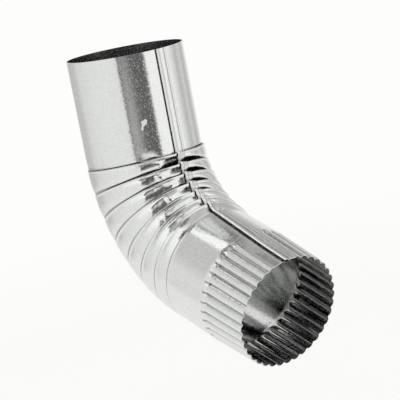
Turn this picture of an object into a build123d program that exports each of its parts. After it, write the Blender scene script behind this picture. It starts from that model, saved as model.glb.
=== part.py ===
# A round downspout elbow of galvanised sheet: a plain sleeve, seven pleats that turn it, a plain
# length with one last crease, and a crimped end that slips into the next pipe. Millimetres.
# The mouth of the sleeve is centred on the origin, its axis is Z, and the outlet leans towards +X.
import os
from math import cos, pi, radians, sin

from build123d import *

os.makedirs("parts", exist_ok=True)

sheet = 0.6  # wall, a little over the bare sheet
pipe_r = 50.0  # outside of the plain pipe
sleeve_len = 92.3  # mouth to the middle of the first pleat
foot_len = 8.3  # the end of it that is drawn in behind the first lip

bend_angle = 72.0
pleat_count = 7
pleat_pitch = 18.55  # along the centre line
lip_throat, lip_heel = 3.6, 0.7  # how far a pleat's lip stands proud
hem_throat, hem_heel = 0.9, 0.6  # how thick the folded edge of the lip is
pocket_throat, pocket_heel = 3.0, 1.1  # how deep the sheet dives behind it
tuck_throat, tuck_heel = 1.4, 1.1  # how far in the sheet is drawn there
crown_throat, crown_heel = 1.9, 0.2  # how far the middle of a band stands proud

outlet_len = 110.6  # middle of the last pleat to the rim
crease_at, crease_high = 15.5, 0.7  # the last crease, a low step all round
crimp_len = 48.0
crimp_step = 0.15  # the crests start this far under the plain pipe
crimp_r = 47.7  # crests at the rim
flute_depth = 2.1
flute_count = 36
flute_skipped = 3  # left out where the seam runs
flute_phase = 26.5  # the first valley past the seam, in degrees from the throat
flute_facets = 6  # flats in the round of one flute

seam_wide = 8.2  # how much of the pipe's round the lock seam covers, in degrees
seam_high = 1.1
seam_top = 0.9  # its open edge on the sleeve, in degrees from the throat
seam_end = 5.6  # and at the rim of the outlet

pleat_angle = bend_angle / pleat_count
sleeve_straight = sleeve_len - foot_len
crimp_start = outlet_len - crimp_len
r = pipe_r
w = sheet


class Frame:
    """A place on the pipe's centre line, with the way the pipe runs there and the way to its throat."""

    def __init__(self, centre, angle):
        self.centre = centre
        self.along = Vector(sin(radians(angle)), 0, -cos(radians(angle)))
        self.throat = Vector(cos(radians(angle)), 0, sin(radians(angle)))

    def at(self, along, out):
        return self.centre + self.along * along + self.throat * out

    def plane(self, along):
        return Plane(self.at(along, 0), x_dir=self.throat, z_dir=self.along)


sleeve = Frame(Vector(0, 0, 0), 0)
pleats = []
corner = sleeve.at(sleeve_len, 0)
for k in range(pleat_count):
    pleats.append(Frame(corner, pleat_angle * (k + 0.5)))
    outlet = Frame(corner, pleat_angle * (k + 1))
    corner = outlet.at(pleat_pitch, 0)


def hoop(frame, heel, throat):
    """A round section that stands on the line from a heel point to a throat point."""
    low = frame.at(heel[0], -heel[1])
    high = frame.at(throat[0], throat[1])
    across = high - low
    plane = Plane((low + high) * 0.5, x_dir=(0, 1, 0), z_dir=across.cross(Vector(0, 1, 0)))
    with BuildSketch(plane) as ring:
        Circle(across.length / 2)
    return ring.sketch


def round_hoop(frame, along, radius):
    return hoop(frame, (along, radius), (along, radius))


def tail(pleat, grow=0.0):
    """Where a band ends, drawn in behind the next lip."""
    heel = (pocket_heel + grow, r - tuck_heel - grow)
    throat = (pocket_throat + grow, r - tuck_throat - grow)
    return hoop(pleat, heel, throat)


def crown(pleat, inset=0.0):
    """The middle of a band, long at the heel and short at the throat."""
    return hoop(pleat, (16.0, r + crown_heel - inset), (6.5, r + crown_throat - inset))


def polar(radius, angle):
    return (radius * cos(radians(angle)), radius * sin(radians(angle)))


def flute_ring(along, crest):
    """A section of the crimped end: a wave round the pipe, and a plain stretch at the seam."""
    step = 360 / flute_count
    fluted = (flute_count - flute_skipped - 0.5) * flute_facets
    points = []
    for k in range(flute_count * flute_facets):
        valley = 0.5 + 0.5 * cos(2 * pi * k / flute_facets) if k < fluted else 0.5
        points.append(polar(crest - valley * flute_depth, flute_phase + step * k / flute_facets))
    with BuildSketch(outlet.plane(along)) as ring:
        with BuildLine():
            Polyline(*points, close=True)
        make_face()
    return ring.sketch


def seam_ring(frame, along, radius, edge):
    """A section of the lock seam: a strip of the pipe's round, sunk a little into the sheet."""
    under, over = radius - w / 2, radius + seam_high
    half, last = edge - seam_wide / 2, edge - seam_wide
    with BuildSketch(frame.plane(along)) as ring:
        with BuildLine():
            Line(polar(under, edge), polar(over, edge))
            ThreePointArc(polar(over, edge), polar(over, half), polar(over, last))
            Line(polar(over, last), polar(under, last))
            ThreePointArc(polar(under, last), polar(under, half), polar(under, edge))
        make_face()
    return ring.sketch


# the inside, one sheet in from the outside
inside = [round_hoop(sleeve, -1, r - w), round_hoop(sleeve, sleeve_straight, r - w)]
for pleat in pleats:
    inside.append(tail(pleat, w))
    behind_heel = (pocket_heel + w + 0.4, r + lip_heel - w - 0.2)
    behind_throat = (pocket_throat + w + 0.4, r + lip_throat - 2.4)
    inside.append(hoop(pleat, behind_heel, behind_throat))
    if pleat is not pleats[-1]:
        inside.append(crown(pleat, w))
inside.append(round_hoop(outlet, crease_at + w, r - crease_high - w))
inside.append(round_hoop(outlet, crease_at + w + 0.4, r - w))
inside.append(round_hoop(outlet, crimp_start - w, r - w))

# how far out the outlet's wall lies under the seam, which has no flutes
flat_start = r - crimp_step - flute_depth / 2
flat_rim = crimp_r - flute_depth / 2
outlet_throat = [
    (crease_at + 0.4, r),
    (crimp_start - 0.5, r),
    (crimp_start + 2.4, flat_start + (flat_rim - flat_start) * 2.4 / crimp_len),
    (outlet_len, flat_rim),
]

with BuildPart() as elbow:
    # the sleeve, drawn in at its foot
    loft([round_hoop(sleeve, 0, r), round_hoop(sleeve, sleeve_straight, r), tail(pleats[0])], ruled=True)
    # each band starts in a lip round an upward pocket and ends in the pocket of the next
    for k, pleat in enumerate(pleats):
        band = [hoop(pleat, (0, r + lip_heel), (0, r + lip_throat))]
        if k < pleat_count - 1:
            band.append(crown(pleat))
            band.append(tail(pleats[k + 1]))
        else:
            band.append(hoop(pleat, (10.0, r + crown_heel - 0.1), (5.5, r + crown_throat - 0.5)))
            band.append(round_hoop(outlet, crease_at, r - crease_high))
            band.append(round_hoop(outlet, crease_at + 0.4, r))
            band.append(round_hoop(outlet, crimp_start, r))
        mouth = hoop(pleat, (0, r + lip_heel - hem_heel), (0, r + lip_throat - hem_throat))
        with BuildPart(mode=Mode.PRIVATE) as cup:
            loft(band, ruled=True)
            loft([mouth, tail(pleat)], ruled=True, mode=Mode.SUBTRACT)
        add(cup.part)
    # the crimped end, its crests running in towards the rim
    loft([flute_ring(crimp_start, r - crimp_step), flute_ring(outlet_len, crimp_r)], ruled=True)
    loft(inside, ruled=True, mode=Mode.SUBTRACT)
    inner_start = flute_ring(crimp_start - w, r - w - crimp_step)
    inner_rim = flute_ring(outlet_len, crimp_r - w)
    loft([inner_start, inner_rim], ruled=True, mode=Mode.SUBTRACT)

    # the lock seam lies on the throat: along the sleeve, over each lip, and down the outlet
    seam_foot = seam_ring(sleeve, sleeve_straight - 0.5, r, seam_top)
    loft([seam_ring(sleeve, 0, r, seam_top), seam_foot], ruled=True)
    for pleat in pleats:
        knot = seam_ring(pleat, 0, r + lip_throat, seam_top)
        loft([knot, seam_ring(pleat, 6.0, r + crown_throat + 0.1, seam_top)], ruled=True)
    run = []
    for along, radius in outlet_throat:
        edge = seam_top + (seam_end - seam_top) * along / outlet_len
        run.append(seam_ring(outlet, along, radius, edge))
    loft(run, ruled=True)

elbow.part.label = "elbow"
export_step(elbow.part, "parts/elbow.step")
print(elbow.part.volume, elbow.part.is_valid, len(elbow.part.solids()), elbow.part.bounding_box())
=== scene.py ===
# %% [markdown]
# # A pleated downspout elbow
# Rain runs off a roof through a round pipe of thin galvanised sheet. Where the pipe has to turn, an elbow
# joins two lengths of it. This lesson dresses the elbow's plain solid: one rolled sheet with a lock seam,
# seven pleats folded into it to make it turn, and a crimped end that slips into the next pipe.
# Everything is in metres in the frame of the solid, so a point of the real part is a point here.

# %% the solid that everything is fitted to
from math import atan2, cos, degrees, log, pi, radians, sin

import bpy
from mathutils import Matrix, Vector


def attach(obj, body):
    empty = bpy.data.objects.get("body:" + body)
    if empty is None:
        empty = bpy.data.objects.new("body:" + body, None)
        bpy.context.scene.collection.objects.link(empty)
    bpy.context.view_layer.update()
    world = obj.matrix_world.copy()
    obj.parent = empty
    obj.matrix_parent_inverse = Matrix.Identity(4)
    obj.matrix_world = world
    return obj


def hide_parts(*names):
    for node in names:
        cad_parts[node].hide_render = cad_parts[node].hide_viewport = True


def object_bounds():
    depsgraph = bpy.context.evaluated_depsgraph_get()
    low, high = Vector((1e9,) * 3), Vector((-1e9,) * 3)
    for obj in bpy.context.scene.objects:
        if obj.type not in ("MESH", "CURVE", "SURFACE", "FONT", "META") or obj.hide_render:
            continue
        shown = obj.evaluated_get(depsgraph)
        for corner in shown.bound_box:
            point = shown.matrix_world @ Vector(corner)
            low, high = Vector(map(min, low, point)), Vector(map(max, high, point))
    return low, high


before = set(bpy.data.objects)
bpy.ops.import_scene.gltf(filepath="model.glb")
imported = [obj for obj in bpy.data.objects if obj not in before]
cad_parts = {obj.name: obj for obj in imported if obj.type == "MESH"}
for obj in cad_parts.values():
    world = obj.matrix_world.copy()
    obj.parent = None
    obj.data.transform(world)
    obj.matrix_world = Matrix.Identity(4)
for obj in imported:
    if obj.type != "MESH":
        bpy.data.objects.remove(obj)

solid_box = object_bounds()
print("solid reaches from", [round(c, 4) for c in solid_box[0]], "to", [round(c, 4) for c in solid_box[1]])

# %% [markdown]
# ## Places along the pipe
# The pipe's centre line is a chain of straight steps that turns at the middle of each pleat. A place on it
# needs three things: its centre, the way the pipe runs there, and the way to the throat, which is the
# inside of the bend. With those, a pair of numbers, so far along and so far out, is a point on the sheet.
# Sizes are in millimetres here and become metres only where Blender gets them.

# %% places along the pipe
pipe_r = 50.0  # outside of the plain pipe
sleeve_len = 92.3  # mouth to the middle of the first pleat
pleat_count = 7
pleat_angle = 72.0 / pleat_count
pleat_pitch = 18.55


class Place:
    def __init__(self, centre, angle):
        self.centre = Vector(centre)
        self.along = Vector((sin(radians(angle)), 0, -cos(radians(angle))))
        self.throat = Vector((cos(radians(angle)), 0, sin(radians(angle))))

    def at(self, along, out):
        return self.centre + self.along * along + self.throat * out


sleeve = Place((0, 0, 0), 0)
pleats = []
corner = sleeve.at(sleeve_len, 0)
for k in range(pleat_count):
    pleats.append(Place(corner, pleat_angle * (k + 0.5)))
    outlet = Place(corner, pleat_angle * (k + 1))
    corner = outlet.at(pleat_pitch, 0)
print("pleats at", [tuple(round(c) for c in p.centre) for p in pleats])

# %% [markdown]
# ## Hoops
# The whole sheet is one tube, so it can be drawn as a row of hoops, each standing on a line from a heel
# point (the outside of the bend) to a throat point. A pleat is a hoop that dives in behind the next lip,
# turns back at the bottom of the pocket and comes up again as a rounded hem. The alternative, a fold
# modelled flat and bent round the pipe, would have to close on itself; hoops are closed from the start.

# %% the hoops of the sleeve and the pleats
hoops = []  # each is (name of the stretch, heel point, throat point, width over height)


def add_hoop(stretch, place, heel, throat, width=1.0):
    low, high = place.at(heel[0], -heel[1] - pipe_r), place.at(throat[0], throat[1] + pipe_r)
    hoops.append((stretch, low, high, width))


# close together where the pale stain will be
sleeve_rows = (0, 1.2, 10, 20, 30, 40, 48, 52, 54, 56, 58, 60, 62, 64, 68, 73, 77, 81, 84)
for along in sleeve_rows:
    add_hoop("sleeve", sleeve, (along, 0), (along, 0))

# how a pleat's sheet runs, at the heel and at the throat: so far along, and so far outside the pipe;
# the lips lie closer to the pipe at its sides, so their hoops are a little narrower than they are high
fold = [
    ("tail", (-0.6, -0.55), (0.2, -0.3), 1.0),
    ("tail", (0.3, -0.85), (1.9, -0.95), 1.0),
    ("pocket", (1.1, -1.1), (3.0, -1.4), 1.0),
    ("pocket", (1.45, -0.8), (3.6, -0.6), 0.998),
    ("pocket", (1.2, -0.4), (3.0, 0.4), 0.993),
    ("pocket", (0.7, -0.1), (1.6, 1.6), 0.985),
    ("lip", (0.2, 0.05), (0.4, 2.2), 0.98),
    ("lip", (0.0, 0.25), (0.0, 2.5), 0.98),
    ("lip", (0.0, 0.5), (0.0, 3.1), 0.98),
    ("lip", (0.25, 0.68), (0.3, 3.5), 0.98),
    ("lip", (0.6, 0.72), (0.9, 3.65), 0.98),
    ("lip", (0.95, 0.62), (1.5, 3.4), 0.98),
    ("lip", (1.4, 0.45), (2.1, 2.8), 0.981),
]


def curve(a, b, c, t):
    """A point of the smooth line from a to c that is drawn towards b."""
    return a * (1 - t) ** 2 + b * 2 * t * (1 - t) + c * t * t


def add_band(stretch, start, crown_heel, crown_throat, end, shares):
    for t in shares:
        heel = curve(start[1], crown_heel, end[1], t)
        throat = curve(start[2], crown_throat, end[2], t)
        hoops.append((stretch, heel, throat, 1 - (1 - start[3]) * (1 - t) ** 2))


# where the hoops of a band lie from its lip to the next pocket, and those of the sleeve's foot
band_shares = (0.1, 0.24, 0.4, 0.56, 0.72, 0.87, 0.92)
foot_shares = (0.2, 0.45, 0.7)
crown_heel_at, crown_heel_out = 15.0, 0.25  # the middle of a band: long and low at the heel
crown_throat_at, crown_throat_out = 6.0, 4.0  # and short and high at the throat
(tail_heel, heel_out), (tail_throat, throat_out) = fold[0][1:3]
for k, pleat in enumerate(pleats):
    tail = ("tail", pleat.at(tail_heel, -heel_out - pipe_r), pleat.at(tail_throat, throat_out + pipe_r))
    if k == 0:
        foot_heel = sleeve.at(sleeve_len - 6.0, -pipe_r)
        foot_throat = sleeve.at(sleeve_len - 3.0, pipe_r)
        add_band("sleeve", hoops[-1], foot_heel, foot_throat, tail, foot_shares)
    else:
        before = pleats[k - 1]
        crown_heel = before.at(crown_heel_at, -pipe_r - crown_heel_out)
        crown_throat = before.at(crown_throat_at, pipe_r + crown_throat_out)
        add_band("band%d" % k, hoops[-1], crown_heel, crown_throat, tail, band_shares)
    for stretch, heel, throat, width in fold:
        add_hoop(stretch + str(k + 1), pleat, heel, throat, width)
print(len(hoops), "hoops down to the last lip")

# %% [markdown]
# ## The outlet's hoops
# Below the last lip the sheet runs out straight. One more crease goes round it, a low step that never
# folded over, then a plain length, then the crimp. The crimp's hoops are set close together where the
# flutes begin, because each flute starts in a rounded finger tip only 4 mm long.

# %% the hoops of the outlet
outlet_len = 110.6
crimp_start = 62.6
crease = (  # so far along, and so far outside the pipe
    (14.6, -0.15), (15.1, -0.5), (15.5, -0.65), (15.75, -0.4),
    (15.95, 0.0), (16.4, 0.2), (17.0, 0.15), (17.7, 0.0),
)
crease_at, crease_out = crease[0]
crease_foot = ("plain", outlet.at(crease_at, -pipe_r - crease_out), outlet.at(crease_at, pipe_r + crease_out))
last_crown_heel = pleats[-1].at(10.0, -pipe_r - 0.2)
last_crown_throat = pleats[-1].at(5.5, pipe_r + 2.4)
last_shares = (0.12, 0.3, 0.5, 0.7, 0.86)
add_band("plain", hoops[-1], last_crown_heel, last_crown_throat, crease_foot, last_shares)
for along, out in crease:
    add_hoop("plain", outlet, (along, out), (along, out))
plain_rows = (20, 26, 32, 38, 44, 50, 55, 59, 61.6)
for along in plain_rows:
    add_hoop("plain", outlet, (along, 0), (along, 0))
crimp_step, crimp_taper = 0.15, 2.15  # how far under the plain pipe the crests start, and then run in
crimp_rows = (
    crimp_start, 63.1, 63.7, 64.4, 65.2, 66.1, 67.2, 68.6, 71, 75,
    81, 88, 95, 101, 106, 109, 110.3, outlet_len,
)
for along in crimp_rows:
    out = -crimp_step - crimp_taper * (along - crimp_start) / (outlet_len - crimp_start)
    add_hoop("crimp", outlet, (along, out), (along, out))
print(len(hoops), "hoops in all")

# %% [markdown]
# ## Rolling the tube
# The first hoop is a circle primitive at the mouth. Every later hoop is the one before it, extruded,
# moved, tipped and scaled about its own centre, just as a hand would do it with the extrude, rotate and
# scale keys. 216 points round give six to each of the 36 flutes. The circle is turned a little first, so
# that one column of faces starts exactly at the open edge of the lock seam. That edge drifts round the
# pipe below the last lip, so there each hoop is also turned a little about the pipe's own axis.

# %% rolling the tube
columns = 216
seam_edge = 0.9  # degrees from the throat, on the sleeve
seam_drift = 5.3  # how far round it has gone where the crimp starts
mm = 0.001


def hoop_size(heel, throat):
    """The centre of a hoop, how far it is tipped about Y, and its radius."""
    across = throat - heel
    return (heel + throat) / 2, atan2(across.z, across.x), across.length / 2


bpy.ops.object.select_all(action="DESELECT")
centre, tip, radius = hoop_size(*hoops[0][1:3])
bpy.ops.mesh.primitive_circle_add(
    vertices=columns, radius=radius * mm, fill_type="NOTHING",
    location=centre * mm, rotation=(0, 0, radians(-seam_edge)))
elbow = bpy.context.object
elbow.name = "elbow_sheet"
bpy.ops.object.transform_apply(location=True, rotation=True, scale=True)
bpy.ops.object.mode_set(mode="EDIT")
bpy.ops.mesh.select_all(action="SELECT")
turned, width = 0.0, 1.0
for stretch, heel, throat, next_width in hoops[1:]:
    next_centre, next_tip, next_radius = hoop_size(heel, throat)
    bpy.ops.mesh.extrude_region_move(TRANSFORM_OT_translate={"value": (next_centre - centre) * mm})
    if abs(next_tip - tip) > 1e-6:
        bpy.ops.transform.rotate(value=next_tip - tip, orient_axis="Y", center_override=next_centre * mm)
    grown = next_radius / radius
    size = (grown, grown * next_width / width, grown)
    bpy.ops.transform.resize(value=size, center_override=next_centre * mm)
    if stretch in ("plain", "crimp"):
        gone = (next_centre - outlet.centre).dot(outlet.along) / crimp_start
        turn = seam_drift * min(max(gone, 0.0), 1.0)
        # laid flat, turned about the pipe's axis, and tipped back
        for angle, axis in ((-next_tip, "Y"), (radians(turn - turned), "Z"), (next_tip, "Y")):
            bpy.ops.transform.rotate(value=angle, orient_axis=axis, center_override=next_centre * mm)
        turned = turn
    centre, tip, radius, width = next_centre, next_tip, next_radius, next_width
bpy.ops.object.mode_set(mode="OBJECT")
tube = elbow.data
print(len(tube.vertices), "points,", len(tube.polygons), "faces")

# %% [markdown]
# ## Numbering the columns
# Later steps pick points by hoop and by column, so the columns are numbered once, round from the open edge
# of the seam. Each point also keeps where it would be if the pipe were still straight. A pattern that
# reads this place, such as the streaks left by the rolls, then follows the sheet through every fold.

# %% numbering the columns
step = 360 / columns
column_number = []
for k in range(columns):
    mouth_point = tube.vertices[k].co
    round_from_edge = degrees(atan2(-mouth_point.y, mouth_point.x)) - seam_edge
    column_number.append(round(round_from_edge / step))
at_column = {number: k for k, number in enumerate(column_number)}

unbent = tube.attributes.new("unbent", "FLOAT_VECTOR", "POINT")
gone = 0.0
sheet_gone = []  # how far down the sheet each hoop lies, as the mean of heel and throat
for i, (stretch, heel, throat, width) in enumerate(hoops):
    if i:
        gone += ((heel - hoops[i - 1][1]).length + (throat - hoops[i - 1][2]).length) / 2
    sheet_gone.append(gone)
    for k in range(columns):
        mouth_point = tube.vertices[k].co
        unbent.data[i * columns + k].vector = (mouth_point.x, mouth_point.y, -gone * mm)
print("columns", min(column_number), "to", max(column_number), "- sheet", round(gone), "mm long on average")

# %% [markdown]
# ## Crimping the outlet
# A crimping tool pinches the sheet into 36 flutes, all but three that would run over the seam. The valleys
# are pressed in and the crests stay, so the columns in and beside each valley are scaled towards the
# pipe's axis, a little at the finger tip and fully after a few millimetres. Between the last flutes, the
# plain strip with the seam is drawn in by half as much, so that the end still goes into the next pipe.

# %% crimping the outlet
flute_depth = 2.1
first_valley = 12  # columns from the seam's open edge
flutes_left_out = 3
flute_columns = 6
flute_profile = (1.0, 0.42, 0.06, 0.0)  # from the middle of a valley to the crest, by columns
strip_share = 0.5  # of the depth, on the plain strip
tip_slope, strip_slope = 4.6, 30  # how soon a flute and the plain strip have their full depth


def smooth(low, high, value):
    """A share that goes from 0 at low to 1 at high, with soft ends."""
    share = min(max((value - low) / (high - low), 0.0), 1.0)
    return share * share * (3 - 2 * share)


def valley_share(number):
    """How much of the flute's depth a column gets, and whether it lies on the plain strip."""
    valley = flute_columns * round((number - first_valley) / flute_columns) + first_valley
    if first_valley - flute_columns * flutes_left_out <= valley < first_valley:
        return strip_share, True
    return flute_profile[abs(number - valley)], False


def select_points(numbers):
    bpy.ops.mesh.select_all(action="DESELECT")
    bpy.ops.object.mode_set(mode="OBJECT")
    for number in numbers:
        tube.vertices[number].select = True
    bpy.ops.object.mode_set(mode="EDIT")


bpy.ops.object.mode_set(mode="EDIT")
bpy.ops.mesh.select_mode(type="VERT")
groups = {}
for k, number in enumerate(column_number):
    groups.setdefault(valley_share(number), []).append(k)
for i, (stretch, heel, throat, width) in enumerate(hoops):
    if stretch != "crimp":
        continue
    centre, tip, radius = hoop_size(heel, throat)
    along = (centre - outlet.centre).dot(outlet.along)
    for (share, plain), members in groups.items():
        slope = strip_slope if plain else tip_slope
        grown = smooth(crimp_start, crimp_start + slope, along)
        if share * grown < 0.01:
            continue
        select_points([i * columns + k for k in members])
        drawn_in = 1 - flute_depth * share * grown / radius
        bpy.ops.transform.resize(value=(drawn_in,) * 3, center_override=centre * mm)
bpy.ops.object.mode_set(mode="OBJECT")
print(columns // flute_columns - flutes_left_out, "flutes, from", len(groups), "groups of columns")

# %% [markdown]
# ## Deep places beside the seam
# Sheet that is four layers thick at the seam can't fold as the rest does. Under the seam each band dives
# from its hem into the next pocket. Right of it a deep crease opens above the next lip and runs out to a
# point. Left of it lies a hollow behind the hem, and past that a flap, where the sheet has gone flat and
# ends in a sharp edge. Depths and flaps are two fields, written down as vertex weights. A Displace modifier
# moves the sheet by each, so the slopes stay smooth, which many single pushes would not give.

# %% deep places beside the seam
rows = {}
for i, (stretch, heel, throat, width) in enumerate(hoops):
    rows.setdefault(stretch, []).append(i)
band_rows = []  # for each pleat, the hoops of the band below it and their share of its length
for k in range(1, pleat_count):
    band = list(zip(rows["band%d" % k], band_shares))
    below = rows["tail%d" % (k + 1)] + rows["pocket%d" % (k + 1)][:1]
    band_rows.append(band + [(i, 1.0) for i in below])
band_rows.append(list(zip(rows["plain"], last_shares)))

# one value for each pleat from the top; reaches are in degrees from the throat, left of the seam positive
dive_depth = (1.6, 1.8, 2.0, 2.1, 2.1, 2.1, 0.0)
crease_depth = (3.4, 3.6, 3.0, 2.4, 1.0, 0.6, 0.0)
crease_reach = (33, 35, 31, 27, 22, 20, 20)
hollow_depth = (3.4, 3.4, 2.8, 3.2, 2.2, 2.2, 1.6)
hollow_reach = (20, 16, 11, 15, 7, 7, 7)
hollow_rise = (0.1, 0.85, 0.3, 0.9, 0.3, 0.3, 0.5)
flap_root, flap_drop = 11, 3.4  # where a flap starts, and how far past its edge it has come down
# the flap's edge, at its own hem and at the next
flaps = ((22, 21), (26, 23.5), (17, 19), (27, 25), (13, 17), (15, 19), (11, 11))
dented_from, dented_to = -42, 36
too_little = 0.01


def depth_at(k, t, angle):
    """How far in the sheet lies on the band below pleat k, at a share t of its length."""
    dive = dive_depth[k] * smooth(-11, -8, angle) * (1 - smooth(1.5, 4.5, angle)) * smooth(0.0, 0.7, t)
    far = max(-angle - 8, 0) / (crease_reach[k] - 8)
    reach = smooth(0.2 + 0.55 * min(far, 1), 0.75 + 0.2 * min(far, 1), t)
    crease = crease_depth[k] * smooth(4.5, 7.4, -angle) * max(1 - far * far, 0) * reach
    far = max(angle - 3, 0) / (hollow_reach[k] - 3)
    hollow = hollow_depth[k] * smooth(0, 2, angle) * max(1 - far * far, 0) * smooth(0, 0.2, t)
    return max(dive, crease, hollow * (1 - hollow_rise[k] * smooth(0.35, 0.8, t)))


def flap_at(k, t, angle):
    """How far out the sheet lies on that band's flap, which is flat and ends in a sharp edge."""
    edge = flaps[k][0] + (flaps[k][1] - flaps[k][0]) * t
    flat = -log(cos(radians(max(min(angle, edge) - flap_root, 0)))) * pipe_r
    dropped = max(1 - max(angle - edge, 0) / flap_drop, 0)
    return flat * dropped * smooth(0.05, 0.3, t) * (1 - smooth(0.8, 1, t))


def displace(piece, amounts, name):
    """Moves points of a piece along their normals by millimetres, inwards where negative."""
    most = max(amounts.values(), key=abs)
    weights = piece.vertex_groups.new(name=name)
    for number, amount in amounts.items():
        weights.add([number], amount / most, "REPLACE")
    moved = piece.modifiers.new(name, "DISPLACE")
    moved.vertex_group = name
    moved.mid_level = 0
    moved.strength = most * mm
    bpy.ops.object.modifier_apply(modifier=name)
    piece.vertex_groups.clear()


bpy.ops.object.mode_set(mode="EDIT")
bpy.ops.mesh.select_all(action="SELECT")
bpy.ops.mesh.normals_make_consistent(inside=False)
bpy.ops.object.mode_set(mode="OBJECT")
if sum(p.normal.dot(Vector((p.center.x, p.center.y, 0))) for p in tube.polygons[:columns * 6]) < 0:
    tube.flip_normals()
deep, raised = {}, {}
for k, band in enumerate(band_rows):
    for i, t in band:
        for j, number in enumerate(column_number):
            angle = number * step + seam_edge
            if dented_from < angle < dented_to:
                depth, flap = depth_at(k, t, angle), flap_at(k, t, angle)
                if depth > too_little:
                    deep[i * columns + j] = depth
                if flap > too_little:
                    raised[i * columns + j] = flap
displace(elbow, {number: -depth for number, depth in deep.items()}, "deep")
displace(elbow, raised, "flaps")
print(len(deep), "points pressed in,", len(raised), "raised")

# %% [markdown]
# ## Dents further round
# Away from the seam the bands go from folded to plain through small facets. Each is a single point pushed
# in or out with proportional editing, which carries its neighbours along: sphere falloff gives a dent with
# a crisp rim, sharp falloff a crease, smooth falloff a soft bump. The folds are hidden meanwhile, so that
# only the bands and the sleeve move.

# %% dents further round


def push(stretch, row, angle, out, reach, falloff):
    """Moves the point of a hoop at that angle from the throat in or out, and its neighbours with it."""
    i = rows[stretch][row]
    number = i * columns + at_column[round((angle - seam_edge) / step)]
    centre, tip, radius = hoop_size(*hoops[i][1:3])
    away = (tube.vertices[number].co - centre * mm).normalized()
    select_points([number])
    bpy.ops.transform.translate(
        value=away * out * mm, use_proportional_edit=True, proportional_size=reach * mm,
        proportional_edit_falloff=falloff, use_proportional_connected=True)


def kind_of(stretch):
    """What a stretch of hoops is, without the number of its pleat."""
    return stretch.rstrip("0123456789")


bpy.ops.object.mode_set(mode="EDIT")
folded = []
for stretch, members in rows.items():
    if kind_of(stretch) in ("tail", "pocket", "lip"):
        folded += members
select_points([i * columns + k for i in folded for k in range(columns)])
bpy.ops.mesh.hide()
dents = [  # stretch, hoop of it, angle, how far out, reach and falloff
    ("band1", 3, 38, 0.5, 5.0, "SMOOTH"),
    ("band2", 3, 33, -0.6, 5.5, "SPHERE"),
    ("band2", 2, 42, 0.5, 6.0, "SMOOTH"),
    ("band3", 3, 30, -0.7, 5.0, "SPHERE"),
    ("band3", 2, 46, 0.5, 6.0, "SMOOTH"),
    ("band4", 4, 33, -0.7, 5.0, "SPHERE"),
    ("band4", 3, 46, 0.5, 5.0, "SMOOTH"),
    ("band5", 2, 38, 0.6, 5.5, "SMOOTH"),
    ("band5", 4, 43, -0.6, 5.0, "SHARP"),
    ("band6", 3, 30, -0.5, 6.0, "SMOOTH"),
    ("band6", 2, 44, 0.5, 6.0, "SMOOTH"),
    ("sleeve", -1, 24, -0.9, 7.0, "SMOOTH"),
    ("sleeve", -2, 33, -0.8, 8.0, "SMOOTH"),
    ("sleeve", -1, 38, 0.4, 6.0, "SMOOTH"),
]
for dent in dents:
    push(*dent)
bpy.ops.mesh.reveal()
print(len(dents), "dents")

# %% [markdown]
# ## The lock seam
# The two edges of the sheet hook into each other along the throat. From outside this shows as one edge
# lapping over the other: a strip that stands off the sheet, with a round bead along its open side, and
# beside it the lower fold it hooks into. It could be a profile drawn along a path. Here the strips are
# copies of the sheet's own faces, split off, so they follow it over every lip.

# %% picking strips of the sheet
bpy.ops.object.mode_set(mode="OBJECT")
run_rows = [rows["sleeve"], rows["plain"][2:] + rows["crimp"]]
knot_rows = []
for k in range(1, pleat_count):
    knot_rows.append(rows["lip%d" % k] + rows["band%d" % k] + rows["tail%d" % (k + 1)][:1])
knot_rows.append(rows["lip%d" % pleat_count] + rows["plain"][:3])


def select_strip(first, last, stretches):
    """Selects the sheet's faces between two columns, on some stretches of hoops."""
    bpy.ops.object.mode_set(mode="EDIT")
    bpy.ops.mesh.select_mode(type="FACE")
    bpy.ops.mesh.select_all(action="DESELECT")
    bpy.ops.object.mode_set(mode="OBJECT")
    wanted = set(i for members in stretches for i in members)
    for face in tube.polygons:
        numbers = [column_number[v % columns] for v in face.vertices]
        between = min(numbers) >= first and max(numbers) <= last
        if between and all(v // columns in wanted for v in face.vertices):
            face.select = True
    bpy.ops.object.mode_set(mode="EDIT")


print("the seam has", len(run_rows), "straight runs and", len(knot_rows), "straps over lips")

# %% [markdown]
# ## Shaping a strip
# A strip gets three more lines of points between two columns of the sheet. Each line along it has a height
# of its own, given by a Displace modifier, so beads and grooves are real shapes, though their shade is
# painted.
# Two values stay on its points for the finish: painted shade, in the grooves, beside the bead and where a
# strap goes under the next lip, and a painted highlight, which makes the bead pale. Last, Solidify gives it
# the thickness of sheet.

# %% shaping a strip
lines_per_column = 4
strip_wall = 0.4
painted_highlight_level = 1.1  # enough for the finish to show the painted highlight all over the bead
shade_at_lip, shade_before_lip = 0.9, 0.4
shaded = {}  # painted shade on a strap where it goes under the next lip, by its hoop
for k in range(1, pleat_count + 1):
    shaded[rows["tail%d" % k][0]] = shade_at_lip
for k in range(1, pleat_count):
    shaded[rows["band%d" % k][-1]] = shade_before_lip


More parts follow.
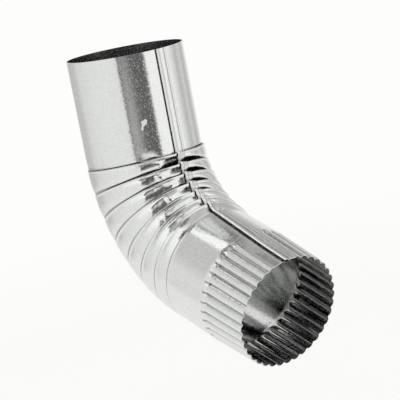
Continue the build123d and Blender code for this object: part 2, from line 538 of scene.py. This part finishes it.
def copy_strip(name, stretches, first, last):
    """A strip of the sheet's faces as a piece of its own, with more lines of points along it."""
    select_strip(first, last, stretches)
    bpy.ops.mesh.duplicate()
    bpy.ops.mesh.separate(type="SELECTED")
    bpy.ops.object.mode_set(mode="OBJECT")
    strip = [o for o in bpy.context.selected_objects if o is not elbow][0]
    strip.name = name
    bpy.ops.object.select_all(action="DESELECT")
    bpy.context.view_layer.objects.active = strip
    strip.select_set(True)
    sheet_z = [p.vector.z for p in strip.data.attributes["unbent"].data]
    across = [abs(sheet_z[e.vertices[0]] - sheet_z[e.vertices[1]]) < 1e-6 for e in strip.data.edges]
    bpy.ops.object.mode_set(mode="EDIT")
    bpy.ops.mesh.select_mode(type="EDGE")
    bpy.ops.mesh.select_all(action="DESELECT")
    bpy.ops.object.mode_set(mode="OBJECT")
    strip.data.edges.foreach_set("select", across)
    bpy.ops.object.mode_set(mode="EDIT")
    bpy.ops.mesh.subdivide(number_cuts=lines_per_column - 1)
    bpy.ops.object.mode_set(mode="OBJECT")
    return strip


def split_off(name, stretches, first, last, profile, line_painted_shade, highlighted=()):
    """A strip of the seam: how far each line along it stands off the tube, from its left edge on."""
    strip = copy_strip(name, stretches, first, last)
    places = [tuple(p.vector) for p in strip.data.attributes["unbent"].data]
    line_of = []
    for x, y, z in places:
        columns_in = (seam_edge - degrees(atan2(-y, x))) / step + last
        line_of.append(round(columns_in * lines_per_column))
    displace(strip, {number: profile[line] for number, line in enumerate(line_of)}, "profile")
    painted_shade_levels = []
    # painted shade: the strap's hoops under and before the next lip, or the painted shade of its line
    for (x, y, z), line in zip(places, line_of):
        levels = [level for i, level in shaded.items() if abs(sheet_gone[i] * mm + z) < 1e-5]
        painted_shade_levels.append(max(levels + [line_painted_shade.get(line, 0.0)]))
    painted_shade_points = strip.data.attributes.new("painted_shade", "FLOAT", "POINT")
    painted_shade_points.data.foreach_set("value", painted_shade_levels)
    # painted highlight: the bead's lines take the pale powder finish
    painted_highlight = strip.data.attributes.new("stain_and_highlight", "FLOAT", "POINT")
    painted_highlight.data.foreach_set("value", [painted_highlight_level if line in highlighted else 0.0 for line in line_of])
    wall = strip.modifiers.new("wall", "SOLIDIFY")
    wall.thickness = strip_wall * mm
    wall.offset = -1
    bpy.ops.object.modifier_apply(modifier="wall")
    strip.select_set(False)
    bpy.context.view_layer.objects.active = elbow
    elbow.select_set(True)
    print(name, len(strip.data.polygons), "faces")
    return strip


print(len(shaded), "hoops where a strap is shaded")

# %% [markdown]
# ## The strips of the seam
# Along the sleeve and the outlet the seam is one run. Over each lip it is a strap, and stands higher. Its
# open edge leaves a shadowed gap at the left, which here is a thin strip with painted shadow, so that it
# stays as sharp as on the real pipe. Under the bead the sheet itself is pressed in, which makes the gap deep.

# %% the strips of the seam
run_profile = [0.55, 0.85, 1.0, 1.07, 1.05, 0.95, 0.8, 0.66, 0.56, 0.5, 0.5, 0.56, 0.66, 0.76, 0.84]
run_profile += [0.88, 0.88, 0.85, 0.76, 0.6, 0.4, 0.22, 0.14, 0.14, 0.2, 0.28, 0.28, 0.2, 0.0]
# painted shade in the run's two grooves and at its far edge
run_painted_shade = {8: 0.15, 9: 0.3, 10: 0.2, 21: 0.3, 22: 0.5, 23: 0.35, 28: 0.3}
knot_profile = [0.5, 1.05, 1.5, 1.75, 1.75, 1.6, 1.35, 1.15, 1.15, 1.15, 1.15]
knot_profile += [1.1, 0.95, 0.85, 0.8, 0.75, 0.7, 0.65, 0.55, 0.45, 0.2]
# painted shade: a dark line beside the bead, a little over the strap's body so the bead stands out, and at
# its far edge
knot_painted_shade = {5: 0.2, 6: 0.5, 7: 0.35, 19: 0.3, 20: 0.5}
for line in range(8, 19):
    knot_painted_shade[line] = 0.1
# painted shadow: the gap strips are near black all over
gap_painted_shade = {1: 0.9}
for line in range(2, 9):
    gap_painted_shade[line] = 1.0
gap_high = 0.04
bead_highlight_lines = (1, 2, 3)  # the bead's lines, painted pale as its highlight
past_lips = [members[len(rows["lip1"]):] for members in knot_rows]
strips = [
    split_off("seam_run", run_rows, -7, 0, run_profile, run_painted_shade, bead_highlight_lines),
    split_off("seam_gap_painted_shadow_above", run_rows[:1] + past_lips, 0, 1, [0.0] + [gap_high] * 4, gap_painted_shade),
    split_off("seam_gap_painted_shadow_below", run_rows[1:], 0, 2, [0.0] + [gap_high] * 8, gap_painted_shade),
    split_off("seam_knots", knot_rows, -5, 0, knot_profile, knot_painted_shade, bead_highlight_lines),
]
under_bead = (-2, -1, 0)  # columns
pressed = (  # stretches, and how far in
    (run_rows[:1], 0.8),
    (run_rows[1:], 1.1),
    ([members[4:] for members in knot_rows], 0.8),
)
for stretches, depth in pressed:
    select_strip(under_bead[0], under_bead[-1], stretches)
    bpy.ops.transform.shrink_fatten(value=-depth * mm)

# %% [markdown]
# ## Painted shade in the folds
# Little light comes back out of where the sheet dives behind a lip and under the open edge of the seam, so
# the shade there is painted. Each point of the sheet gets a painted shade value, full at the bottom of a
# pocket and nothing on open sheet. The finish reads it later to darken the zinc.

# %% painted shade in the folds
bpy.ops.object.mode_set(mode="OBJECT")
# painted shade: dark in the tails and pockets of each pleat, and a little on the first hoops of each lip
fold_painted_shade = {"tail": (0.55, 1.0), "pocket": (1.0, 1.0, 1.0, 0.9), "lip": (0.5, 0.1, 0, 0, 0, 0, 0)}
painted_shade = tube.attributes.new("painted_shade", "FLOAT", "POINT")
for stretch, members in rows.items():
    levels = fold_painted_shade.get(kind_of(stretch), (0.0,) * len(members))
    for i, level in zip(members, levels):
        for k in range(columns):
            painted_shade.data[i * columns + k].value = level


def paint_shade(stretch, row, first, last, level):
    """Adds painted shade to a hoop from one angle to another, less and less towards the second."""
    i = rows[stretch][row]
    for k, number in enumerate(column_number):
        share = (number * step + seam_edge - first) / (last - first)
        if 0 <= share <= 1:
            point = painted_shade.data[i * columns + k]
            point.value = max(point.value, level * (1 - share ** 3))


# painted shade in the deep creases and hollows beside the seam, the deeper the darker
for number, depth in deep.items():
    painted_shade.data[number].value = max(painted_shade.data[number].value, 0.84 * smooth(0.7, 2.2, depth))
# painted shade: dark lines round the pipe along each lip and just above it, away from the seam
for k in range(pleat_count):
    lip, band = "lip%d" % (k + 1), "band%d" % (k + 1)
    if k < pleat_count - 1:
        for first, last in ((44, 185), (-28, -180)):
            paint_shade(band, 6, first, last, 0.65)
    for row, level in ((2, 0.8), (3, 0.5)):
        paint_shade(lip, row, 34, 185, level)
        paint_shade(lip, row, -24, -180, level * 0.7)
# painted shade: full under the open edge of the seam
for members in run_rows + knot_rows:
    for i in members:
        for number in under_bead:
            painted_shade.data[i * columns + at_column[number]].value = 1.0
# painted shade in the valleys of the flutes, darkest at their finger tips
for i, along in zip(rows["crimp"], crimp_rows):
    for k, number in enumerate(column_number):
        share, plain = valley_share(number)
        if not plain and share > 0.9:
            painted_shade.data[i * columns + k].value = 0.7 - 0.3 * smooth(crimp_start + 3, crimp_start + 12, along)
# painted shade at the bottom of the last crease
for i in rows["plain"][6:9]:  # the bottom of the last crease
    for k in range(columns):
        painted_shade.data[i * columns + k].value = 0.7
print(sum(1 for g in painted_shade.data if g.value > 0.5), "points with grime")

# %% [markdown]
# ## A pale stain on the sleeve
# Where zinc has stood wet it turns to white powder. There is one such mark on the sleeve, a little left of
# the seam, about a centimetre across. A second value on the points says how near they are to its middle.
# The finish breaks its edge up with noise, because a painted outline would look cut out.

# %% a pale stain on the sleeve
stain_and_highlight = tube.attributes.new("stain_and_highlight", "FLOAT", "POINT")
stain_angle, stain_along = 25.5, 57.5
stain_wide, stain_high, stain_lean = 4.0, 6.5, 0.5
for i in rows["sleeve"]:
    along = -hoops[i][1].z
    for k, number in enumerate(column_number):
        aside = radians(number * step + seam_edge - stain_angle) * pipe_r
        below = along - stain_along
        off = ((aside - stain_lean * below) / stain_wide) ** 2 + (below / stain_high) ** 2
        stain_and_highlight.data[i * columns + k].value = max(0.0, 1 - off)
print(sum(1 for p in stain_and_highlight.data if p.value > 0), "points in the stain")

# %% [markdown]
# ## The thickness of the sheet
# So far the tube is a skin. Its normals point outwards, and Solidify grows it inwards by half a
# millimetre, so the outside stays where the solid has it. The new inner skin takes the second material:
# the inside of a downspout is duller than the outside, and darker, as painted shade.

# %% the thickness of the sheet
bright = bpy.data.materials.new("galvanised_outside")
dull_and_shaded = bpy.data.materials.new("galvanised_inside")
tube.materials.append(bright)
tube.materials.append(dull_and_shaded)
for strip in strips:
    strip.data.materials.append(bright)
wall = elbow.modifiers.new("wall", "SOLIDIFY")
sheet_wall = 0.5
wall.thickness = sheet_wall * mm
wall.offset = -1
wall.use_quality_normals = True
wall.material_offset = 1
bpy.ops.object.modifier_apply(modifier="wall")
crisp_angle = 50  # edges sharper than this stay crisp
for piece in [elbow] + strips:
    bpy.ops.object.select_all(action="DESELECT")
    bpy.context.view_layer.objects.active = piece
    piece.select_set(True)
    bpy.ops.object.shade_smooth_by_angle(angle=radians(crisp_angle))
print(len(tube.polygons), "faces with both skins")

# %% [markdown]
# ## Helpers for a finish
# A finish is a tree of nodes. A few helpers keep its recipe short enough to read: one adds any node with its
# values, and the others add noise, a change of range, a sum of two values, a mix of two colours, and a
# value that was kept on the points.

# %% helpers for a finish


def node(tree, kind, x, y, **sockets):
    made = tree.nodes.new("ShaderNode" + kind)
    made.location = (x, y)
    for name, value in sockets.items():
        made.inputs[name.replace("_", " ")].default_value = value
    return made


def noise(tree, place, x, y, scale, detail=2.0, rough=0.5):
    made = node(tree, "TexNoise", x, y, Scale=scale, Detail=detail, Roughness=rough)
    tree.links.new(place, made.inputs["Vector"])
    return made.outputs["Fac"]


def spread(tree, value, x, y, low, high, to_low, to_high):
    made = node(tree, "MapRange", x, y, From_Min=low, From_Max=high, To_Min=to_low, To_Max=to_high)
    tree.links.new(value, made.inputs["Value"])
    return made.outputs["Result"]


def combine(tree, kind, a, b, x, y):
    """A sum of two values, each a number or the output of a node."""
    made = node(tree, "Math", x, y)
    made.operation = kind
    for socket, value in zip(made.inputs, (a, b)):
        if isinstance(value, float):
            socket.default_value = value
        else:
            tree.links.new(value, socket)
    return made.outputs["Value"]


def mix(tree, share, a, b, x, y):
    """A mix of two colours, each a colour or the output of a node."""
    made = node(tree, "MixRGB", x, y)
    for socket, value in zip(made.inputs, (share, a, b)):
        if isinstance(value, tuple):
            socket.default_value = (*value, 1)
        else:
            tree.links.new(value, socket)
    return made.outputs["Color"]


def kept_value(tree, name, x, y):
    made = node(tree, "Attribute", x, y)
    made.attribute_name = name
    return made.outputs


print("the sheet keeps", [a.name for a in tube.attributes if a.name in ("unbent", "painted_shade", "stain_and_highlight")])

# %% [markdown]
# ## Bright zinc outside
# Hot-dip galvanised sheet is a mirror with faults. Its crystals each lean a little, the rolls leave faint
# streaks along it, handling leaves a slow waviness, and specks of it have turned to white powder. So the
# shader is plain metal, and the life is in its normals and roughness: leaning crystals, a fine grain, long
# streaks that follow the unbent sheet, a ripple of a centimetre and a wave of a few. Powder takes the shine
# off, painted shade darkens the colour, and the same pale powder on the seam's beads is a painted highlight.
# A single roughness value would look like chromed plastic.

# %% bright zinc outside
# near black, for painted shade; the pale colour is both white powder and the painted highlight on the beads
painted_shade_colour = (0.008, 0.008, 0.009)
powder_and_highlight_colour = (0.88, 0.89, 0.88)


def white_powder_and_highlight(tree, place, specks):
    """Where zinc has turned to powder: specks all over, and the stain with its torn edge; on the seam's beads
    the same value is a painted highlight.
    """
    speck = spread(tree, noise(tree, place, -800, 900, 700, 1.5), -500, 900, 0.5, 0.7, 0, specks)
    torn = spread(tree, noise(tree, place, -1000, 1300, 230, 2.0), -800, 1300, 0.3, 0.7, 0, 0.95)
    torn = combine(tree, "ADD", kept_value(tree, "stain_and_highlight", -800, 1100)["Fac"], torn, -600, 1100)
    stain_and_highlight_mask = spread(tree, torn, -400, 1100, 0.98, 1.08, 0, 0.95)
    return combine(tree, "MAXIMUM", speck, stain_and_highlight_mask, -150, 900)


def leaning_crystals(tree, place, tilt):
    """Normals that lean a little from crystal to crystal, and a few of them more."""
    crystals = node(tree, "TexVoronoi", -1000, -600, Scale=1300)
    tree.links.new(place, crystals.inputs["Vector"])
    chance = node(tree, "SeparateColor", -800, -750)
    tree.links.new(crystals.outputs["Color"], chance.inputs["Color"])
    amount = spread(tree, chance.outputs["Red"], -600, -750, 0.86, 0.9, tilt * 0.25, tilt)
    lean = node(tree, "VectorMath", -800, -550)
    lean.operation = "SUBTRACT"
    lean.inputs[1].default_value = (0.5, 0.5, 0.5)
    tree.links.new(crystals.outputs["Color"], lean.inputs[0])
    scaled = node(tree, "VectorMath", -500, -550)
    scaled.operation = "SCALE"
    tree.links.new(lean.outputs["Vector"], scaled.inputs[0])
    tree.links.new(amount, scaled.inputs["Scale"])
    tipped = node(tree, "VectorMath", -350, -600)
    tree.links.new(scaled.outputs["Vector"], tipped.inputs[0])
    tree.links.new(node(tree, "NewGeometry", -600, -950).outputs["Normal"], tipped.inputs[1])
    even = node(tree, "VectorMath", -200, -600)
    even.operation = "NORMALIZE"
    tree.links.new(tipped.outputs["Vector"], even.inputs[0])
    return even.outputs["Vector"]


def zinc(material, colours, roughness, tilt, depths, specks):
    """Zinc sheet; the depths are of its grain, streaks, ripple and slow wave, in millimetres."""
    material.use_nodes = True
    tree = material.node_tree
    tree.nodes.clear()
    out = node(tree, "OutputMaterial", 900, 0)
    metal = node(tree, "BsdfPrincipled", 600, 0)
    tree.links.new(metal.outputs["BSDF"], out.inputs["Surface"])
    place = node(tree, "TexCoord", -1200, 200).outputs["Object"]
    along_sheet = node(tree, "Mapping", -1000, -300, Scale=(1, 1, 0.02))
    tree.links.new(kept_value(tree, "unbent", -1200, -300)["Vector"], along_sheet.inputs["Vector"])
    mottle = noise(tree, place, -800, 400, 380, 4.0, 0.65)
    grain = noise(tree, place, -800, 200, 480, 3.0, 0.6)
    streak = noise(tree, along_sheet.outputs["Vector"], -800, -300, 200, 3.0, 0.6)
    ripple = noise(tree, place, -800, -100, 110, 2.0)
    wave = noise(tree, place, -800, 0, 28, 1.0)
    powder_and_highlight = white_powder_and_highlight(tree, place, specks)
    tint = mix(tree, spread(tree, mottle, -500, 400, 0.35, 0.65, 0, 1), *colours, 100, 300)
    # painted shade: the kept value darkens the zinc to near black
    painted_shade_tint = mix(tree, kept_value(tree, "painted_shade", 100, 500)["Fac"], tint, painted_shade_colour, 350, 300)
    dusted_and_highlighted = mix(tree, powder_and_highlight, painted_shade_tint, powder_and_highlight_colour, 450, 400)
    tree.links.new(dusted_and_highlighted, metal.inputs["Base Color"])
    tree.links.new(spread(tree, powder_and_highlight, 0, 900, 0, 1, 1.0, 0.15), metal.inputs["Metallic"])
    polish = spread(tree, mottle, -500, 100, 0.3, 0.7, *roughness)
    matt = combine(tree, "MULTIPLY", powder_and_highlight, 0.5, 0, 700)
    tree.links.new(combine(tree, "ADD", polish, matt, 200, 700), metal.inputs["Roughness"])
    facing = leaning_crystals(tree, place, tilt)
    for k, (height, depth) in enumerate(zip((grain, streak, ripple, wave), depths)):
        if depth:
            bump = node(tree, "Bump", 200, -200 - 200 * k, Strength=1.0, Distance=depth * mm)
            tree.links.new(height, bump.inputs["Height"])
            tree.links.new(facing, bump.inputs["Normal"])
            facing = bump.outputs["Normal"]
    tree.links.new(facing, metal.inputs["Normal"])


bright_colours = ((0.815, 0.83, 0.815), (0.893, 0.905, 0.885))
zinc(bright, bright_colours, (0.05, 0.09), tilt=0.08, depths=(0.004, 0.02, 0.012, 0.08), specks=0.3)
print("outside", len(bright.node_tree.nodes), "nodes")

# %% [markdown]
# ## Dull zinc inside
# Nothing polishes the inside, so it gets the same recipe with a rougher surface, and with a darker metal as
# painted shade. A tube's inside also lights itself: each reflection inside takes a share of the light, so it
# darkens by itself towards the bend.

# %% dull zinc inside
inside_shaded_colours = ((0.6, 0.61, 0.6), (0.76, 0.77, 0.76))
zinc(dull_and_shaded, inside_shaded_colours, (0.11, 0.17), tilt=0.05, depths=(0.002, 0.0, 0.012, 0.03), specks=0.0)
print("inside", len(dull_and_shaded.node_tree.nodes), "nodes")

# %% [markdown]
# ## The studio
# Polished metal shows its surroundings, so they are designed with it: a white tent with grey folds and one
# dark opening on the camera's side. Lamps and cards could be set up for each of these. A world is simpler,
# because a ramp round the horizon sets the brightness for each direction, with one ramp for low directions
# and one for high ones.

# %% the studio
scene = bpy.context.scene
scene.view_settings.view_transform = "Standard"
world = bpy.data.worlds.new("white_tent")
scene.world = world
world.use_nodes = True
tree = world.node_tree
tree.nodes.clear()
way = node(tree, "TexCoord", -1400, 0).outputs["Generated"]
parts = node(tree, "SeparateXYZ", -1200, 0)
tree.links.new(way, parts.inputs["Vector"])
how_high = parts.outputs["Z"]
round_way = combine(tree, "ARCTAN2", parts.outputs["Y"], parts.outputs["X"], -1000, 100)
turn_share = spread(tree, round_way, -800, 100, -pi, pi, 0, 1)


def band_of_tent(stops, x, y):
    """The brightness of the tent round one height, from stops of direction and level."""
    made = node(tree, "ValToRGB", x, y)
    tree.links.new(turn_share, made.inputs["Fac"])
    ramp = made.color_ramp
    while len(ramp.elements) < len(stops):
        ramp.elements.new(0.5)
    for element, (angle, level) in zip(ramp.elements, stops):
        element.position = (angle + 180) / 360
        element.color = (level, level, level, 1)
    return made.outputs["Color"]


low_stops = [
    (-180, 0.56), (-160, 0.6), (-145, 0.76), (-110, 0.84), (-75, 0.86), (-54, 0.84),
    (-51.5, 0.8), (-49.5, 0.24), (-46, 0.38), (-37, 0.41), (-28, 0.24), (-22, 0.14),
    (-2, 0.12), (2, 0.2), (6, 1.0), (55, 1.0), (80, 0.52), (92, 0.7),
    (106, 0.5), (125, 0.85), (150, 0.88), (165, 0.62), (180, 0.56),
]
high_stops = [
    (-180, 0.6), (-130, 0.6), (-110, 1.0), (-62, 1.1), (-54, 0.35), (-38, 0.4), (-30, 0.8), (-22, 0.85),
    (-6, 0.9), (0, 0.95), (30, 1.0), (60, 0.75), (105, 0.5), (135, 0.4), (160, 0.35), (180, 0.6),
]
low = band_of_tent(low_stops, -600, 200)
high = band_of_tent(high_stops, -600, -100)
tent = mix(tree, spread(tree, how_high, -600, -300, 0.2, 0.5, 0, 1), low, high, -300, 100)
print("tent with", len(low_stops), "low and", len(high_stops), "high stops")

# %% [markdown]
# ## Patches and the opening
# Each dented face beside the seam mirrors one small part of the tent, mostly overhead. Dark and pale round
# patches there give those faces their contrast. The opening is a dark window in the tent at the camera's
# height, which the sleeve shows as its dark band.

# %% patches and the opening


def patch(azimuth, elevation, inner, outer, x, y):
    """A round soft spot of the tent, 1 in its middle and 0 outside."""
    flat = cos(radians(elevation))
    near = node(tree, "VectorMath", x, y)
    near.operation = "DOT_PRODUCT"
    near.inputs[1].default_value = (
        cos(radians(azimuth)) * flat, sin(radians(azimuth)) * flat, sin(radians(elevation)))
    tree.links.new(way, near.inputs[0])
    made = node(tree, "MapRange", x + 200, y, From_Min=cos(radians(outer)), From_Max=cos(radians(inner)))
    made.interpolation_type = "SMOOTHSTEP"
    tree.links.new(near.outputs["Value"], made.inputs["Value"])
    return made.outputs["Result"]


def over(below, level, mask, x, y):
    """The tent with one more grey level laid over it."""
    return mix(tree, mask, below, (level, level, level), x, y)


ceiling = spread(tree, how_high, -600, -500, 0.88, 0.98, 0, 1)
tent = over(tent, 0.55, ceiling, -100, 100)
patches = (  # direction, height, where it is full and where it ends, in degrees, and its level
    (165, 60, 7, 14, 0.22),
    (-165, 61, 5, 9, 1.1),
    (-68, 52, 9, 12, 0.15),
    (-125, 71, 8, 12, 0.2),
)
for k, (azimuth, elevation, inner, outer, level) in enumerate(patches):
    spot = patch(azimuth, elevation, inner, outer, -600, -700 - 200 * k)
    tent = over(tent, level, spot, 100 * k, 100)
opening = band_of_tent([(-51.5, 0), (-49.5, 1), (0, 1), (4, 0)], -600, -1500)
above_sill = spread(tree, how_high, -600, -1700, -0.12, -0.04, 0, 1)
below_top = spread(tree, how_high, -600, -1900, 0.34, 0.44, 1, 0)
window = combine(tree, "MULTIPLY", above_sill, below_top, -400, -1700)
tent = over(tent, 0.1, combine(tree, "MULTIPLY", opening, window, -200, -1500), 400, 100)
print(len(patches), "patches")

# %% [markdown]
# ## Who sees the tent
# The camera sees plain white cloth, and metal sees the tent with its folds. Dull things are lit by an even
# grey, so that a colour comes out about as it is written. The Light Path node tells these three apart.

# %% who sees the tent
tent_white = (0.985, 0.985, 0.97)  # how the cloth looks, by itself and in metal
tent_light = (0.8, 0.8, 0.8)  # how it lights dull things
ray = node(tree, "LightPath", -100, 400).outputs
shiny = combine(tree, "ADD", ray["Is Glossy Ray"], ray["Is Transmission Ray"], 100, 400)
seen = combine(tree, "ADD", ray["Is Camera Ray"], shiny, 250, 400)
cloth = mix(tree, seen, tent_light, tent_white, 400, 300)
folds = mix(tree, shiny, cloth, tent, 500, 100)
folds.node.blend_type = "MULTIPLY"
light = node(tree, "Background", 700, 100, Strength=1.0)
tree.links.new(folds, light.inputs["Color"])
sky = node(tree, "OutputWorld", 900, 100)
tree.links.new(light.outputs["Background"], sky.inputs["Surface"])
print("tent with", len(tree.nodes), "nodes")

# %% [markdown]
# ## Floor and lamp
# The elbow hangs from the pipe above it, so the floor lies a little below and takes a soft shadow. It is a
# disc whose edge fades out, so no rim of it shows against the tent. One large lamp overhead gives the
# shadow its direction and leaves the level to the tent.

# %% floor and lamp
bpy.ops.object.select_all(action="DESELECT")
floor_drop = 0.12
floor_z = solid_box[0].z - floor_drop
bpy.ops.mesh.primitive_circle_add(vertices=96, radius=1.3, fill_type="NGON", location=(0.05, 0, floor_z))
floor = bpy.context.object
floor.name = "studio_floor"
bpy.ops.object.transform_apply(location=True, rotation=True, scale=True)
paper = bpy.data.materials.new("white_paper")
floor.data.materials.append(paper)
paper.use_nodes = True
tree = paper.node_tree
tree.nodes.clear()
where = node(tree, "TexCoord", -900, 0).outputs["Object"]
reach = node(tree, "VectorMath", -700, 0)
reach.operation = "LENGTH"
tree.links.new(where, reach.inputs[0])
fade = spread(tree, reach.outputs["Value"], -500, 0, 0.7, 1.25, 0, 1)
camera_sees, metal_sees = 0.85, 0.25  # how much of the paper's white is its own, not lit
ray = node(tree, "LightPath", -500, 400).outputs
lit = node(tree, "BsdfDiffuse", -300, 200, Color=(0.88, 0.88, 0.87, 1))
glow = node(tree, "Emission", -300, 50, Color=(*tent_white, 1), Strength=1.0)
shiny = combine(tree, "ADD", ray["Is Glossy Ray"], ray["Is Transmission Ray"], -300, 500)
in_metal = combine(tree, "MULTIPLY", shiny, metal_sees, -200, 500)
in_picture = combine(tree, "MULTIPLY", ray["Is Camera Ray"], camera_sees, -300, 300)
seen = combine(tree, "ADD", in_metal, in_picture, -150, 400)
white = node(tree, "MixShader", 0, 100)
tree.links.new(seen, white.inputs["Fac"])
tree.links.new(lit.outputs["BSDF"], white.inputs[1])
tree.links.new(glow.outputs["Emission"], white.inputs[2])
clear = node(tree, "BsdfTransparent", 0, -100)
edge = node(tree, "MixShader", 250, 0)
tree.links.new(fade, edge.inputs["Fac"])
tree.links.new(white.outputs["Shader"], edge.inputs[1])
tree.links.new(clear.outputs["BSDF"], edge.inputs[2])
out = node(tree, "OutputMaterial", 500, 0)
tree.links.new(edge.outputs["Shader"], out.inputs["Surface"])

bpy.ops.object.light_add(type="AREA", location=(0.25, -0.25, 1.1))
lamp = bpy.context.object
lamp.name = "soft_lamp"
lamp.data.shape = "DISK"
lamp.data.size = 0.8
lamp.data.energy = 4.0
aim = Vector((0.05, 0, -0.13)) - lamp.location
lamp.rotation_euler = aim.to_track_quat("-Z", "Y").to_euler()
lamp.visible_glossy = False
print("floor at", round(floor_z, 3), "m")

# %% [markdown]
# ## Camera
# A long lens from a little above, seen from the throat's side, with the camera leaning over so that the
# sleeve tilts to the left in the picture.

# %% camera
azimuth, elevation, lean = radians(57.756), radians(10.109), radians(-10.863)
back = Vector((sin(azimuth) * cos(elevation), -cos(azimuth) * cos(elevation), sin(elevation)))
level = Vector((cos(azimuth), sin(azimuth), 0))
upright = back.cross(level)
right = level * cos(lean) + upright * sin(lean)
up = upright * cos(lean) - level * sin(lean)
looked_at, distance = Vector((0.04, 0, -0.12)), 1.301
eye = looked_at + back * distance
picture, pixels = 400, 1548.8  # the picture's width and the lens, both in pixels
off_right, off_up = 23.31, 9.96  # from that point to the middle of the picture
back = (back * pixels - right * off_right + up * off_up).normalized()
right = (right - back * right.dot(back)).normalized()
up = back.cross(right)
bpy.ops.object.camera_add()
camera = bpy.context.object
camera.name = "camera"
sensor = 36
camera.data.sensor_width = sensor
camera.data.lens = pixels / picture * sensor
camera.matrix_world = Matrix((right, up, back)).transposed().to_4x4()
camera.location = eye
scene.camera = camera
print("lens", round(camera.data.lens, 1), "mm")

# %% [markdown]
# ## Handing over
# The sheet and the four strips of its seam stand for the solid, and all of them move with it. The solid
# itself is hidden.

# %% handing over
for piece in [elbow] + strips:
    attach(piece, "root")
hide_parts("elbow")
